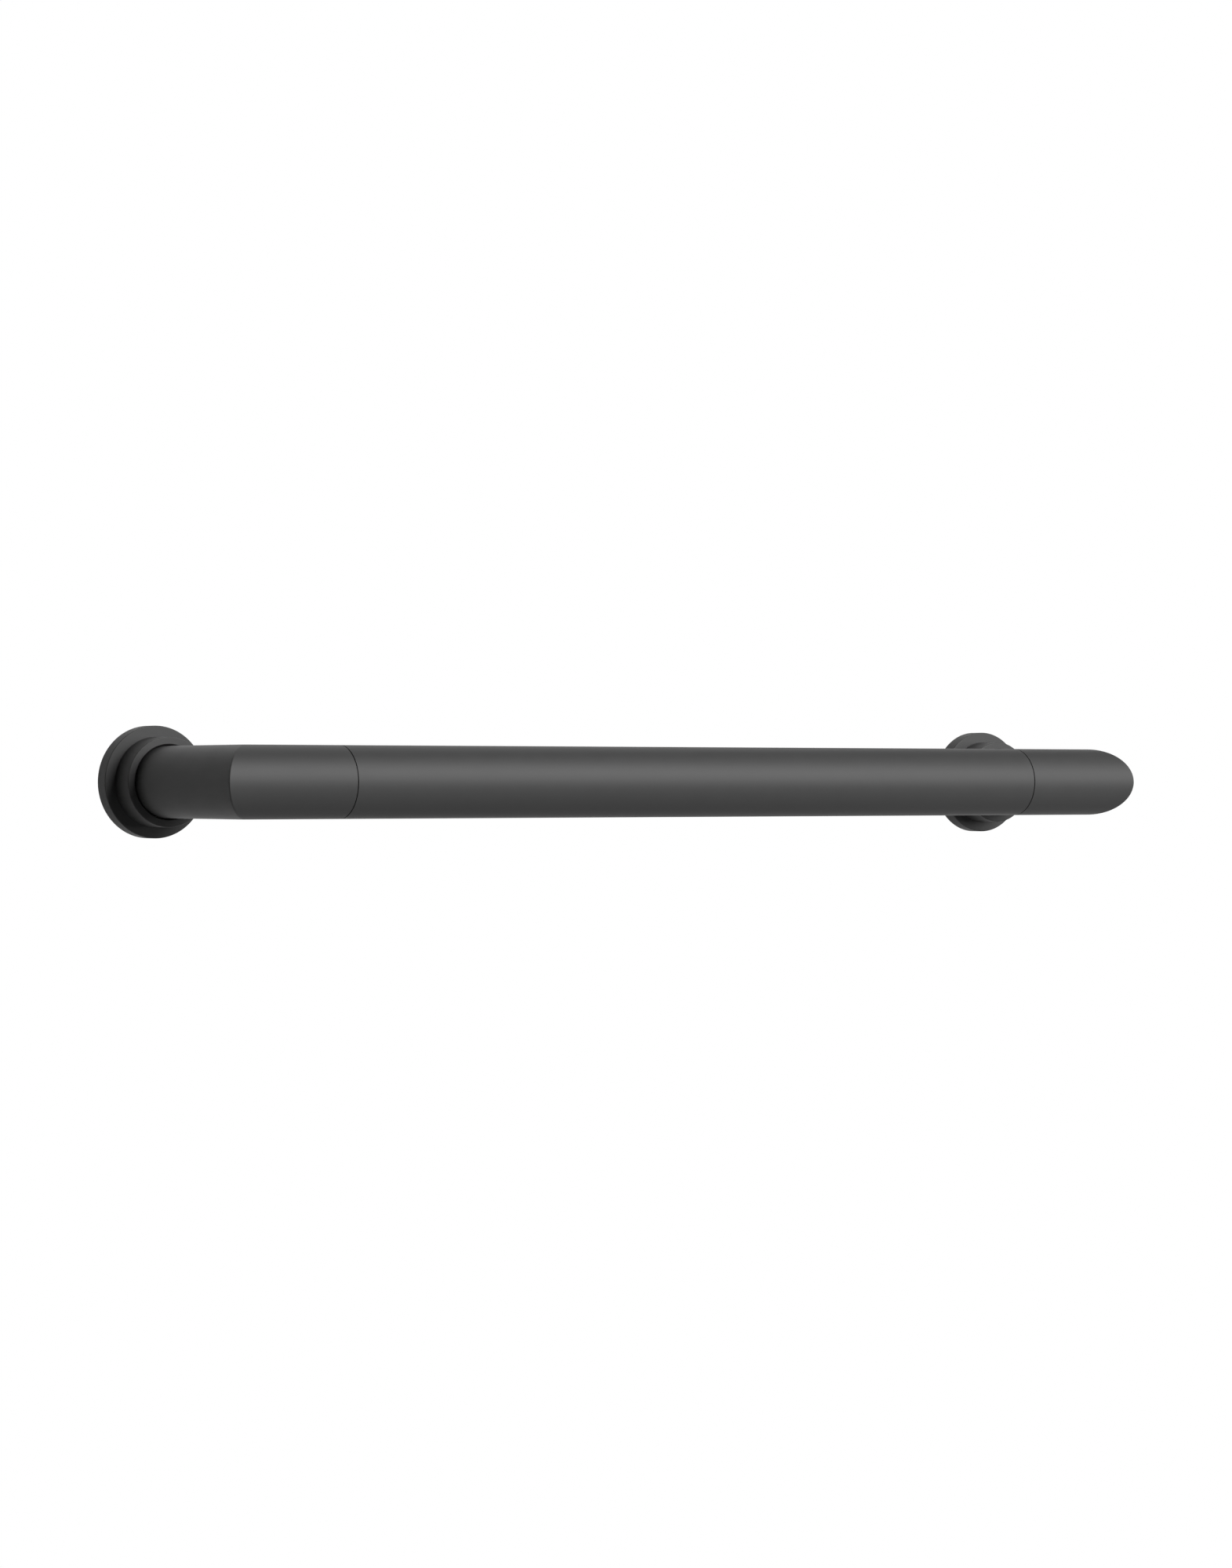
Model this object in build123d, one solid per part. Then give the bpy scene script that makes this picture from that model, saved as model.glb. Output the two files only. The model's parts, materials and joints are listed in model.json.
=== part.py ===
from build123d import *
import math
import os

# Heated towel rail: one horizontal bar carried by two mitred elbows that plug on to wall plates.
# Millimetres. The wall is the plane Y = 0, the rail stands off towards -Y, X runs along the bar
# and Z is up. The origin is on the wall, midway between the posts, at the height of the bar.

# Tube and overall reach
POST_SPACING = 468.0
BAR_STANDOFF = 89.0
TUBE_OD = 32.0
TUBE_WALL = 1.5
TUBE_EDGE_BREAK = 0.15

# Seam between bar and elbow: a sleeve inside, with a thin rib that shows as a shadow line
STUB_LENGTH = 46.7
RIB_WIDTH = 0.4
RIB_RECESS = 0.4
SLEEVE_REACH = 20.0
SLEEVE_WALL = 3.4
SLEEVE_CLEARANCE = 0.1
SLEEVE_LEAD_IN = 0.8
JOINT_SEAL_CORD = 1.5
JOINT_SEAL_OFFSET = 7.0

# Rose: the stepped cover at the wall
ROSE_GAP = 0.5
COLLAR_LIP = 3.5
ROSE_STEP = 5.0
ROSE_THICKNESS = 7.0
COLLAR_FRONT = 19.5
ROSE_RIM_WALL = 1.7
ROSE_FACE_WALL = 2.4
COLLAR_WALL = 1.7
COLLAR_LIP_DEPTH = 6.5
ROSE_EDGE_RADIUS = 0.4
ROSE_MOUTH_CHAMFER = 0.4
ROSE_SEAL_CORD = 2.0
ROSE_SEAL_SETBACK = 3.0

# Wall plate: disc screwed to the wall and a spigot inside the post
PLATE_THICKNESS = 4.0
PLATE_CLEARANCE = 0.3
SPIGOT_LENGTH = 20.0
SPIGOT_BORE = 17.0
SPIGOT_CLEARANCE = 0.1
SPIGOT_LEAD_IN = 0.8
WALL_SCREW_HOLE = 4.5
WALL_SCREW_HEAD = 8.0
CABLE_HOLE = 11.0
CABLE_WEB = 2.0
BACK_RECESS = 1.4

# Grub screw that locks each post on its spigot, under the collar
GRUB_DIAMETER = 5.0
GRUB_LENGTH = 4.0
GRUB_SOCKET = 2.5
GRUB_SOCKET_DEPTH = 2.0
GRUB_HEIGHT = 9.0
GRUB_PROUD = 0.2
GRUB_GROOVE_WIDTH = 6.0

# Grommet for the supply cable
SUPPLY_CABLE_HOLE = 8.0
GROMMET_LIP = 1.2
GROMMET_CLEARANCE = 1.2

# Heating cable, a hairpin on the floor of the bar, with its fuse and splice
HEATER_DIAMETER = 4.0
HEATER_LEG_SPACING = 16.0
HEATER_TURN_ROOM = 4.0
FUSE_LENGTH = 11.0
FUSE_CHAMFER = 0.5
SPLICE_CRIMP = 3.0
SPLICE_CRIMP_DEPTH = 0.3

# Leads inside the left elbow, and the earth connection on the sleeve
LEAD_DIAMETER = 2.2
LEAD_INSERT = 6.5
LEAD_BEND = 14.0
LEAD_STEP_RUN = 8.0
LEAD_STEP_BEND = 12.0
LEAD_STRAIGHT = 4.0
EARTH_STUD = 3.0
EARTH_HEAD = 5.6
EARTH_OFFSET = 12.5
EARTH_NUT_FLATS = 5.5
EARTH_NUT_HEIGHT = 2.4
EARTH_STUD_TAIL = 0.8
EARTH_TAG_WIDTH = 5.2
EARTH_TAG_THICKNESS = 0.8
EARTH_NECK_WIDTH = 2.6
EARTH_BARREL = 3.2
EARTH_BARREL_LENGTH = 5.0

# Terminal strip on the floor of the left post
POLES = ("live", "earth", "neutral")
POLE_PITCH = 6.0
POLE_WIDTH = 5.2
BLOCK_HEIGHT = 11.0
BLOCK_LENGTH = 15.0
BLOCK_BASE = 3.0
BLOCK_ROUND = 1.0
BLOCK_SIDE_MARGIN = 0.5
BLOCK_SETBACK = 6.0
WIRE_HEIGHT = 5.0
CLAMP_OD = 3.8
CLAMP_BORE = 2.6
CLAMP_RECESS = 1.5
CLAMP_SCREW = 2.4
CLAMP_SCREW_SPACING = 6.0
CLAMP_SCREW_SINK = 1.2
CLAMP_SLOT_WIDTH = 0.5
CLAMP_SLOT_DEPTH = 0.7
SCREW_WELL = 3.2

# Clearances
RUNNING_FIT = 0.05
SEAT_GAP = 0.3

# Sizes worked out from the ones above
tube_r = TUBE_OD / 2
bore_r = tube_r - TUBE_WALL
post_x = POST_SPACING / 2
seam_x = post_x - STUB_LENGTH
bar_half = seam_x - RIB_WIDTH / 2
sleeve_r = bore_r - SLEEVE_CLEARANCE
sleeve_bore_r = sleeve_r - SLEEVE_WALL
sleeve_half = RIB_WIDTH / 2 + SLEEVE_REACH
spigot_r = bore_r - SPIGOT_CLEARANCE
spigot_bore_r = SPIGOT_BORE / 2
spigot_top = PLATE_THICKNESS + SPIGOT_LENGTH
rose_bore_r = tube_r + ROSE_GAP
collar_r = rose_bore_r + COLLAR_LIP
rose_r = collar_r + ROSE_STEP
plate_r = rose_r - ROSE_RIM_WALL - PLATE_CLEARANCE
wall_screw_radius = (spigot_r + plate_r) / 2
grub_tip = tube_r + GRUB_PROUD - GRUB_LENGTH
block_width = len(POLES) * POLE_PITCH + 2 * BLOCK_SIDE_MARGIN
block_floor = -math.sqrt((bore_r - SEAT_GAP) ** 2 - (block_width / 2) ** 2)
block_start = spigot_top + BLOCK_SETBACK
wire_level = block_floor + WIRE_HEIGHT
heater_half = HEATER_LEG_SPACING / 2
heater_level = -math.sqrt((bore_r - SEAT_GAP - HEATER_DIAMETER / 2) ** 2 - heater_half**2)
lead_start = -bar_half + SLEEVE_REACH + LEAD_STRAIGHT + 2 * LEAD_STEP_RUN
heater_start = lead_start + FUSE_LENGTH
heater_reach = heater_half + HEATER_DIAMETER / 2 + HEATER_TURN_ROOM
heater_turn = bar_half - SLEEVE_REACH - heater_reach
earth_x = -seam_x - EARTH_OFFSET
earth_head_level = math.sqrt(sleeve_r**2 - (EARTH_HEAD / 2) ** 2)
earth_tag_top = math.sqrt(sleeve_bore_r**2 - (EARTH_TAG_WIDTH / 2) ** 2) - RUNNING_FIT
earth_lead_level = earth_tag_top - EARTH_BARREL / 2


def wall_frame(x):
    """Frame of a wall fixing at x: its Z points out of the wall and its Y points up."""
    return Plane(origin=(x, 0, 0), x_dir=(1, 0, 0), z_dir=(0, -1, 0)).location


def bar_frame(x):
    """Frame on the bar's axis at x: its Z runs along the bar and its Y points up."""
    return Plane(origin=(x, -BAR_STANDOFF, 0), x_dir=(0, 1, 0), z_dir=(1, 0, 0)).location


def turned(outline, rounds=()):
    """Solid of revolution about Z from (radius, height) points, with some corners rounded."""
    profile = Polygon(*outline)
    for corner, radius in rounds:
        nearest = profile.vertices().sort_by_distance((*corner, 0))[0]
        profile = fillet(nearest, radius)
    return revolve(Plane.XZ * profile, Axis.Z)


def ring(cord, middle_r):
    """Seal ring of round section, lying flat about Z."""
    return Torus(middle_r, cord / 2)


def heated_bar():
    """Straight tube between the two seams, with both outer edges broken."""
    edge = TUBE_EDGE_BREAK
    outline = [
        (bore_r, -bar_half),
        (tube_r - edge, -bar_half),
        (tube_r, -bar_half + edge),
        (tube_r, bar_half - edge),
        (tube_r - edge, bar_half),
        (bore_r, bar_half),
    ]
    return bar_frame(0) * turned(outline)


def elbow(side):
    """Post and stub as one tube with a sharp mitred corner, and the tapped grub screw hole."""
    foot = (side * post_x, -PLATE_THICKNESS, 0)
    corner = (side * post_x, -BAR_STANDOFF, 0)
    stub_end = (side * (seam_x + RIB_WIDTH / 2), -BAR_STANDOFF, 0)
    path = Polyline(foot, corner, stub_end)
    section = Plane(origin=foot, z_dir=(0, -1, 0)) * (Circle(tube_r) - Circle(bore_r))
    tube = sweep(section, path=path, transition=Transition.RIGHT)
    rims = tube.edges().filter_by(GeomType.CIRCLE)
    outer_rims = rims.filter_by(lambda rim: abs(rim.radius - tube_r) < RUNNING_FIT)
    seam_rim = outer_rims.sort_by_distance(stub_end)[0]
    tube = chamfer(seam_rim, TUBE_EDGE_BREAK)
    hole = Cylinder(GRUB_DIAMETER / 2 + RUNNING_FIT, tube_r, rotation=(90, 0, 0))
    return tube - wall_frame(side * post_x) * Pos(0, -tube_r, GRUB_HEIGHT) * hole


def joint_sleeve(side):
    """Inner sleeve that lines up bar and stub; its rib stands between the two tube ends."""
    groove_r = bore_r - JOINT_SEAL_CORD - 2 * RUNNING_FIT
    groove_half = JOINT_SEAL_CORD / 2 + SEAT_GAP
    half_outline = [
        (tube_r - RIB_RECESS, RIB_WIDTH / 2),
        (sleeve_r, RIB_WIDTH / 2),
        (sleeve_r, JOINT_SEAL_OFFSET - groove_half),
        (groove_r, JOINT_SEAL_OFFSET - groove_half),
        (groove_r, JOINT_SEAL_OFFSET + groove_half),
        (sleeve_r, JOINT_SEAL_OFFSET + groove_half),
        (sleeve_r, sleeve_half - SLEEVE_LEAD_IN),
        (sleeve_r - SLEEVE_LEAD_IN, sleeve_half),
        (sleeve_bore_r, sleeve_half),
    ]
    other_half = [(radius, -height) for radius, height in reversed(half_outline)]
    sleeve = turned(other_half + half_outline)
    if side < 0:
        sleeve -= Pos(0, 0, -EARTH_OFFSET) * Rot(-90, 0, 0) * earth_stud_hole()
    return bar_frame(side * seam_x) * sleeve


def joint_seals(side):
    """One ring in each groove of a joint sleeve."""
    middle_r = bore_r - RUNNING_FIT - JOINT_SEAL_CORD / 2
    places = Pos(0, 0, -JOINT_SEAL_OFFSET), Pos(0, 0, JOINT_SEAL_OFFSET)
    rings = [bar_frame(side * seam_x) * place * ring(JOINT_SEAL_CORD, middle_r) for place in places]
    return Compound(children=rings)


def rose(side):
    """Stepped cover: a disc on the wall and a collar round the post, hollow behind."""
    cavity_r = rose_r - ROSE_RIM_WALL
    relief_r = collar_r - COLLAR_WALL
    groove_r = tube_r + ROSE_SEAL_CORD + 2 * RUNNING_FIT
    groove_half = ROSE_SEAL_CORD / 2 + RUNNING_FIT
    groove_z = COLLAR_FRONT - ROSE_SEAL_SETBACK
    outline = [
        (cavity_r, 0),
        (rose_r, 0),
        (rose_r, ROSE_THICKNESS),
        (collar_r, ROSE_THICKNESS),
        (collar_r, COLLAR_FRONT),
        (rose_bore_r + ROSE_MOUTH_CHAMFER, COLLAR_FRONT),
        (rose_bore_r, COLLAR_FRONT - ROSE_MOUTH_CHAMFER),
        (rose_bore_r, groove_z + groove_half),
        (groove_r, groove_z + groove_half),
        (groove_r, groove_z - groove_half),
        (rose_bore_r, groove_z - groove_half),
        (rose_bore_r, COLLAR_FRONT - COLLAR_LIP_DEPTH),
        (relief_r, COLLAR_FRONT - COLLAR_LIP_DEPTH),
        (relief_r, ROSE_THICKNESS - ROSE_FACE_WALL),
        (cavity_r, ROSE_THICKNESS - ROSE_FACE_WALL),
    ]
    rounds = [
        ((rose_r, ROSE_THICKNESS), ROSE_EDGE_RADIUS),
        ((collar_r, COLLAR_FRONT), ROSE_EDGE_RADIUS),
    ]
    return wall_frame(side * post_x) * turned(outline, rounds)


def rose_seal(side):
    """Ring in the collar that grips the post and keeps the rose against the wall."""
    middle_r = tube_r + RUNNING_FIT + ROSE_SEAL_CORD / 2
    place = Pos(0, 0, COLLAR_FRONT - ROSE_SEAL_SETBACK)
    return wall_frame(side * post_x) * place * ring(ROSE_SEAL_CORD, middle_r)


def wall_plate(side):
    """Disc with two countersunk wall screw holes, and the spigot that the post slides over."""
    groove_r = grub_tip - RUNNING_FIT
    groove_half = GRUB_GROOVE_WIDTH / 2
    outline = [
        (spigot_bore_r, 0),
        (plate_r, 0),
        (plate_r, PLATE_THICKNESS),
        (spigot_r, PLATE_THICKNESS),
        (spigot_r, GRUB_HEIGHT - groove_half),
        (groove_r, GRUB_HEIGHT - groove_half),
        (groove_r, GRUB_HEIGHT + groove_half),
        (spigot_r, GRUB_HEIGHT + groove_half),
        (spigot_r, spigot_top - SPIGOT_LEAD_IN),
        (spigot_r - SPIGOT_LEAD_IN, spigot_top),
        (spigot_bore_r, spigot_top),
        (spigot_bore_r, BACK_RECESS + CABLE_WEB),
        (CABLE_HOLE / 2, BACK_RECESS + CABLE_WEB),
        (CABLE_HOLE / 2, BACK_RECESS),
        (spigot_bore_r, BACK_RECESS),
    ]
    plate = turned(outline)
    screw_hole = CounterSinkHole(
        WALL_SCREW_HOLE / 2, WALL_SCREW_HEAD / 2, depth=PLATE_THICKNESS, counter_sink_angle=90
    )
    for place in GridLocations(0, 2 * wall_screw_radius, 1, 2):
        plate -= place * Pos(0, 0, PLATE_THICKNESS) * screw_hole
    return wall_frame(side * post_x) * plate


def post_grub_screws():
    """One socket screw under each post, its tip in the spigot's groove."""
    socket = extrude(RegularPolygon(GRUB_SOCKET / 2, 6, major_radius=False), -GRUB_SOCKET_DEPTH)
    screw = Cylinder(GRUB_DIAMETER / 2, GRUB_LENGTH, align=(Align.CENTER, Align.CENTER, Align.MAX))
    screw -= socket
    head = Pos(0, -tube_r - GRUB_PROUD, GRUB_HEIGHT) * Rot(90, 0, 0)
    return Compound(children=[wall_frame(x) * head * screw for x in (-post_x, post_x)])


def cable_grommet():
    """Soft bush clipped into the web of the left wall plate, where the supply cable comes in."""
    groove_r = CABLE_HOLE / 2 - RUNNING_FIT
    lip_r = spigot_bore_r - GROMMET_CLEARANCE
    web_back = BACK_RECESS - RUNNING_FIT
    web_front = BACK_RECESS + CABLE_WEB + RUNNING_FIT
    outline = [
        (SUPPLY_CABLE_HOLE / 2, web_back - GROMMET_LIP),
        (lip_r, web_back - GROMMET_LIP),
        (lip_r, web_back),
        (groove_r, web_back),
        (groove_r, web_front),
        (lip_r, web_front),
        (lip_r, web_front + GROMMET_LIP),
        (SUPPLY_CABLE_HOLE / 2, web_front + GROMMET_LIP),
    ]
    return wall_frame(-post_x) * turned(outline)


def cord(path, diameter):
    """Round cord swept along a path."""
    section = Plane(origin=path @ 0, z_dir=path % 0) * Circle(diameter / 2)
    return sweep(section, path=path)


def heating_cable():
    """Hairpin on the floor of the bar: out along the front leg, round, and back behind it."""
    front = -BAR_STANDOFF - heater_half
    back = -BAR_STANDOFF + heater_half
    bend = (heater_turn + heater_half, -BAR_STANDOFF, heater_level)
    out_leg = Line((heater_start, front, heater_level), (heater_turn, front, heater_level))
    turn = ThreePointArc(out_leg @ 1, bend, (heater_turn, back, heater_level))
    back_leg = Line(turn @ 1, (heater_start, back, heater_level))
    return cord(Wire([out_leg, turn, back_leg]), HEATER_DIAMETER)


def thermal_fuse():
    """Capsule between the live lead and the front leg of the heating cable."""
    radius = HEATER_DIAMETER / 2
    outline = [
        (0, 0),
        (radius, 0),
        (radius, FUSE_LENGTH - FUSE_CHAMFER),
        (radius - FUSE_CHAMFER, FUSE_LENGTH),
        (0, FUSE_LENGTH),
    ]
    place = Pos(-heater_half, heater_level, 0) * Rot(180, 0, 0)
    return bar_frame(heater_start) * place * turned(outline)


def neutral_splice():
    """Crimped sleeve between the neutral lead and the back leg of the heating cable."""
    radius = HEATER_DIAMETER / 2
    crimp_r = radius - SPLICE_CRIMP_DEPTH
    land = (FUSE_LENGTH - 2 * SPLICE_CRIMP) / 3
    outline = [(0, 0), (radius, 0)]
    for start in (land, 2 * land + SPLICE_CRIMP):
        outline += [(radius, start), (crimp_r, start)]
        outline += [(crimp_r, start + SPLICE_CRIMP), (radius, start + SPLICE_CRIMP)]
    outline += [(radius, FUSE_LENGTH), (0, FUSE_LENGTH)]
    place = Pos(heater_half, heater_level, 0) * Rot(180, 0, 0)
    return bar_frame(heater_start) * place * turned(outline)


def heater_lead(pole, leg):
    """Lead from a leg of the heating cable, through the sleeve and round the mitre to its pole."""
    end_y = -block_start - BLOCK_LENGTH + LEAD_INSERT
    leg_y = -BAR_STANDOFF + leg
    along = -BAR_STANDOFF + pole_offset(pole)
    across = -post_x + pole_offset(pole)
    points = [
        (lead_start, leg_y, heater_level),
        (lead_start - LEAD_STEP_RUN, leg_y, heater_level),
        (lead_start - 2 * LEAD_STEP_RUN, along, wire_level),
        (across, along, wire_level),
        (across, end_y, wire_level),
    ]
    path = FilletPolyline(*points, radius=[LEAD_STEP_BEND, LEAD_STEP_BEND, LEAD_BEND])
    return cord(path, LEAD_DIAMETER)


def earth_lead():
    """Lead from the earth tag, over the mitre and down to the middle pole of the terminal strip."""
    start_x = earth_x - EARTH_TAG_WIDTH / 2 - EARTH_BARREL_LENGTH
    across = -post_x + pole_offset("earth")
    block_end = block_start + BLOCK_LENGTH
    points = [
        (start_x, -BAR_STANDOFF, earth_lead_level),
        (across, -BAR_STANDOFF, earth_lead_level),
        (across, (-BAR_STANDOFF - block_end) / 2, wire_level),
        (across, -block_end + LEAD_INSERT, wire_level),
    ]
    path = FilletPolyline(*points, radius=[LEAD_BEND, LEAD_BEND])
    return cord(path, LEAD_DIAMETER)


def earth_stud():
    """Countersunk screw set through the top of the left sleeve before it goes into the stub."""
    shank_r = EARTH_STUD / 2
    head_r = EARTH_HEAD / 2
    tail = earth_tag_top - EARTH_TAG_THICKNESS - EARTH_NUT_HEIGHT - EARTH_STUD_TAIL
    outline = [
        (0, tail),
        (shank_r, tail),
        (shank_r, earth_head_level - (head_r - shank_r)),
        (head_r, earth_head_level),
        (0, earth_head_level),
    ]
    return Pos(earth_x, -BAR_STANDOFF, 0) * turned(outline)


def earth_stud_hole():
    """Cutter for the stud: a clear shank hole, the countersink and the way in above it."""
    shank_r = EARTH_STUD / 2 + RUNNING_FIT
    head_r = EARTH_HEAD / 2 + RUNNING_FIT
    outline = [
        (0, 0),
        (shank_r, 0),
        (shank_r, earth_head_level - (head_r - shank_r)),
        (head_r, earth_head_level),
        (head_r, tube_r),
        (0, tube_r),
    ]
    return turned(outline)


def earth_nut():
    """Hexagon nut that clamps the tag up against the sleeve."""
    hexagon = RegularPolygon(EARTH_NUT_FLATS / 2, 6, major_radius=False)
    nut = extrude(hexagon - Circle(EARTH_STUD / 2 + RUNNING_FIT), -EARTH_NUT_HEIGHT)
    return Pos(earth_x, -BAR_STANDOFF, earth_tag_top - EARTH_TAG_THICKNESS) * nut


def earth_tag():
    """Ring tag on the stud, with a crimp barrel that points along the stub."""
    barrel_start = EARTH_NUT_FLATS / math.sqrt(3) + SEAT_GAP
    neck_length = barrel_start + EARTH_BARREL_LENGTH / 2
    eye = Circle(EARTH_TAG_WIDTH / 2)
    neck = Rectangle(neck_length, EARTH_NECK_WIDTH, align=(Align.MAX, Align.CENTER))
    hole = Circle(EARTH_STUD / 2 + RUNNING_FIT)
    flat = extrude(eye + neck - hole, -EARTH_TAG_THICKNESS)
    wall = Circle(EARTH_BARREL / 2) - Circle(LEAD_DIAMETER / 2 + RUNNING_FIT)
    along = Plane(origin=(-barrel_start, 0, -EARTH_BARREL / 2), z_dir=(-1, 0, 0))
    barrel = extrude(along * wall, EARTH_BARREL_LENGTH)
    core = extrude(along * Circle(LEAD_DIAMETER / 2 + RUNNING_FIT), EARTH_BARREL_LENGTH)
    return Pos(earth_x, -BAR_STANDOFF, earth_tag_top) * (flat - core + barrel)


def pole_offset(pole):
    """Distance of a terminal pole from the post's axis, along X."""
    return (POLES.index(pole) - (len(POLES) - 1) / 2) * POLE_PITCH


def pole_places():
    """Places of the terminal poles on the wire axis, in the frame of the left wall fixing."""
    return [Pos(pole_offset(pole), wire_level, 0) for pole in POLES]


def clamp_screw_heights():
    """Distances of the two rows of clamp screws from the wall."""
    middle = block_start + BLOCK_LENGTH / 2
    return middle - CLAMP_SCREW_SPACING / 2, middle + CLAMP_SCREW_SPACING / 2


def upright(diameter, length):
    """Round bar that stands up from the wire axis."""
    return Rot(-90, 0, 0) * Cylinder(
        diameter / 2, length, align=(Align.CENTER, Align.CENTER, Align.MIN)
    )


def terminal_block():
    """Moulded strip: a base and one tower for each pole, with wire holes and screw wells."""
    foot = Pos(0, block_floor) * Rectangle(
        block_width, BLOCK_BASE, align=(Align.CENTER, Align.MIN)
    )
    outline = Sketch() + foot
    for place in pole_places():
        tower = RectangleRounded(POLE_WIDTH, BLOCK_HEIGHT, BLOCK_ROUND)
        outline += Pos(place.position.X, block_floor + BLOCK_HEIGHT / 2) * tower
    block = extrude(Pos(0, 0, block_start) * outline, BLOCK_LENGTH)
    for place in pole_places():
        block -= extrude(
            place * Pos(0, 0, block_start) * Circle(CLAMP_OD / 2 + RUNNING_FIT), BLOCK_LENGTH
        )
        for height in clamp_screw_heights():
            block -= place * Pos(0, 0, height) * upright(SCREW_WELL, BLOCK_HEIGHT)
    return wall_frame(-post_x) * block


def terminal_clamps():
    """One brass tube in each pole, cross drilled for its two screws."""
    wall = Circle(CLAMP_OD / 2) - Circle(CLAMP_BORE / 2)
    clamps = []
    for place in pole_places():
        start = block_start + CLAMP_RECESS
        clamp = extrude(place * Pos(0, 0, start) * wall, BLOCK_LENGTH - 2 * CLAMP_RECESS)
        for height in clamp_screw_heights():
            clamp -= place * Pos(0, 0, height) * upright(CLAMP_SCREW + 2 * RUNNING_FIT, CLAMP_OD)
        clamps.append(wall_frame(-post_x) * clamp)
    return Compound(children=clamps)


def terminal_screws():
    """Slotted screws in the wells, two to a pole, resting on the wire."""
    tip = LEAD_DIAMETER / 2 + RUNNING_FIT
    top = BLOCK_HEIGHT - WIRE_HEIGHT - CLAMP_SCREW_SINK
    slot = Pos(0, top, 0) * Box(CLAMP_SLOT_WIDTH, 2 * CLAMP_SLOT_DEPTH, CLAMP_SCREW)
    screw = Pos(0, tip, 0) * upright(CLAMP_SCREW, top - tip) - slot
    screws = []
    for place in pole_places():
        for height in clamp_screw_heights():
            screws.append(wall_frame(-post_x) * place * Pos(0, 0, height) * screw)
    return Compound(children=screws)


LEFT, RIGHT = -1, 1
nodes = {
    "heated_bar": heated_bar(),
    "left_elbow": elbow(LEFT),
    "right_elbow": elbow(RIGHT),
    "left_joint_sleeve": joint_sleeve(LEFT),
    "right_joint_sleeve": joint_sleeve(RIGHT),
    "left_joint_seals": joint_seals(LEFT),
    "right_joint_seals": joint_seals(RIGHT),
    "left_wall_plate": wall_plate(LEFT),
    "right_wall_plate": wall_plate(RIGHT),
    "left_rose": rose(LEFT),
    "right_rose": rose(RIGHT),
    "left_rose_seal": rose_seal(LEFT),
    "right_rose_seal": rose_seal(RIGHT),
    "post_grub_screws": post_grub_screws(),
    "heating_cable": heating_cable(),
    "thermal_fuse": thermal_fuse(),
    "neutral_splice": neutral_splice(),
    "live_lead": heater_lead("live", -heater_half),
    "neutral_lead": heater_lead("neutral", heater_half),
    "earth_lead": earth_lead(),
    "earth_stud": earth_stud(),
    "earth_tag": earth_tag(),
    "earth_nut": earth_nut(),
    "terminal_block": terminal_block(),
    "terminal_clamps": terminal_clamps(),
    "terminal_screws": terminal_screws(),
    "cable_grommet": cable_grommet(),
}

os.makedirs("parts", exist_ok=True)
for name, solid in nodes.items():
    export_step(solid, f"parts/{name}.step")
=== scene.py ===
# %% [markdown]
# # A heated towel rail
# The real object hangs on a bathroom wall: one warm round bar, two mitred elbows that carry it, and two
# stepped roses that hide the wall fixing. Its solid model is already packed, in metres, with the wall at
# Y = 0, X along the bar and Z up. This lesson dresses that model. The parts that the eye meets are modelled
# again with finer edges, the hidden ones keep the meshes that they came with, and every part gets a
# procedural finish.

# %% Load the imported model
import json
import math

import bmesh
import bpy
from mathutils import Matrix, Vector


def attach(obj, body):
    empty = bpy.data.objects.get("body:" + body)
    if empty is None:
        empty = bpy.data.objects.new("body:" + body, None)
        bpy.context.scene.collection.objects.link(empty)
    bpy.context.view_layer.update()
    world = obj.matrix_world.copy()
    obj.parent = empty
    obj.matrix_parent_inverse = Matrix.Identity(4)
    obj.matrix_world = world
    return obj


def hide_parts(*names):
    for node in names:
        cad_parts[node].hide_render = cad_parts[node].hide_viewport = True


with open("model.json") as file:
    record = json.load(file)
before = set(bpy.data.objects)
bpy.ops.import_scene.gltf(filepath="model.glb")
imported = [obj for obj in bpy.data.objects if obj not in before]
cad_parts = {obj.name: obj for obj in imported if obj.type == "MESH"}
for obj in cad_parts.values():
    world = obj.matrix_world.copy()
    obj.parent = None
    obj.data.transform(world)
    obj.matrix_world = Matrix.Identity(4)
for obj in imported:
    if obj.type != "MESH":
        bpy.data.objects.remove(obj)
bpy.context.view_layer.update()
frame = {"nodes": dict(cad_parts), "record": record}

MM = 0.001

# %% [markdown]
# ## Sizes
# A fitting like this is drawn from a few sizes. The imported record states the pitch of the wall screws, and
# so the places of the posts. The others are the model's own sizes.

# %% Set the main sizes
wall_screws = next(mount for mount in frame["record"]["mounts"] if mount["name"] == "wall_screws")
post_x = wall_screws["dims"]["spacing_x_mm"] / 2 * MM
SIDES = {"left": -1, "right": 1}
tube_r = 16.0 * MM
bar_y = -89.0 * MM
foot_y = -4.0 * MM
seam_x = post_x - 46.7 * MM
HALF_SEAM = 0.2 * MM
rose_r = 25.0 * MM

# %% [markdown]
# ## Camera
# The rail is seen from the left, a third of a right angle round from the front, and from its own height.
# A long lens keeps its two ends nearly the same size. The place and the lens come from fitting the tube's
# edges, the seams and the roses. The camera stays level, so that the roses look the same above and below
# the bar, and a very small shift of the lens moves the picture to its height.

# %% Set the camera
VIEW_TURN = math.radians(33.72)
camera_data = bpy.data.cameras.new("portrait_camera")
camera_data.lens = 93.09
camera_data.sensor_width = 36.0
camera_data.shift_y = -0.00125
camera = bpy.data.objects.new("portrait_camera", camera_data)
camera.location = (-1.0612, -1.6133, 0.0)
camera.rotation_euler = (math.radians(90), 0, -VIEW_TURN)
bpy.context.scene.collection.objects.link(camera)
bpy.context.scene.camera = camera
bpy.context.scene.view_settings.view_transform = "Standard"
print("camera:", tuple(camera.location), "lens:", camera_data.lens)

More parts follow.
